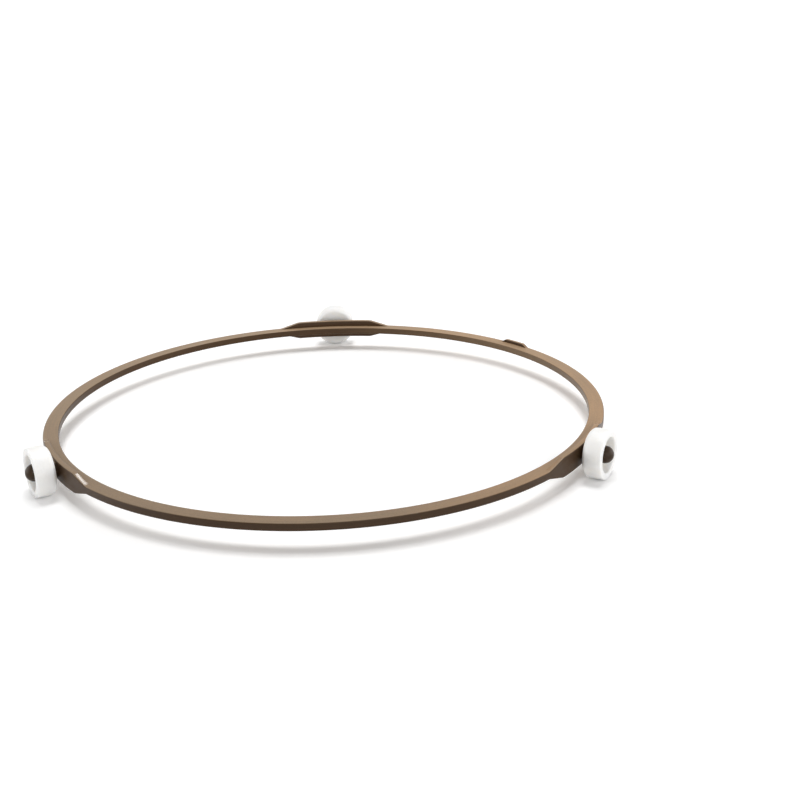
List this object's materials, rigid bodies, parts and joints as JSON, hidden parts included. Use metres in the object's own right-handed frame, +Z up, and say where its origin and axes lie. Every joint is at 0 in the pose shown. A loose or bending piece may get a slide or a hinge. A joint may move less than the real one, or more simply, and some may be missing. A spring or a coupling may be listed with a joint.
{
  "type": "microwave roller ring",
  "caption": "Flat plastic ring with raised carrier walls, whose radial pins hold free-turning white rollers that carry a microwave oven's glass tray.",
  "frame": {"origin": "on the ring's axis, on the floor that the rollers stand on", "axes": "+Z up along the ring's axis, +Y out along the back roller's axle"},
  "size_m": [0.18, 0.1886, 0.015],
  "materials": {
    "ring_plastic": "fine matte moulded texture",
    "roller_plastic": "smooth satin"
  },
  "bodies": {
    "ring": {"support_ring": "ring_plastic"},
    "back_roller": {"roller_back": "roller_plastic"},
    "left_roller": {"roller_left": "roller_plastic"},
    "right_roller": {"roller_right": "roller_plastic"}
  },
  "joints": [
    {"name": "back_roller_spin", "type": "hinge", "parent": "ring", "child": "back_roller", "pos_m": [0, 0.0942, 0.0075], "axis": [0, 1, 0], "continuous": true},
    {"name": "left_roller_spin", "type": "hinge", "parent": "ring", "child": "left_roller", "pos_m": [-0.08158, -0.0471, 0.0075], "axis": [-0.866, -0.5, 0], "continuous": true},
    {"name": "right_roller_spin", "type": "hinge", "parent": "ring", "child": "right_roller", "pos_m": [0.08158, -0.0471, 0.0075], "axis": [0.866, -0.5, 0], "continuous": true}
  ]
}
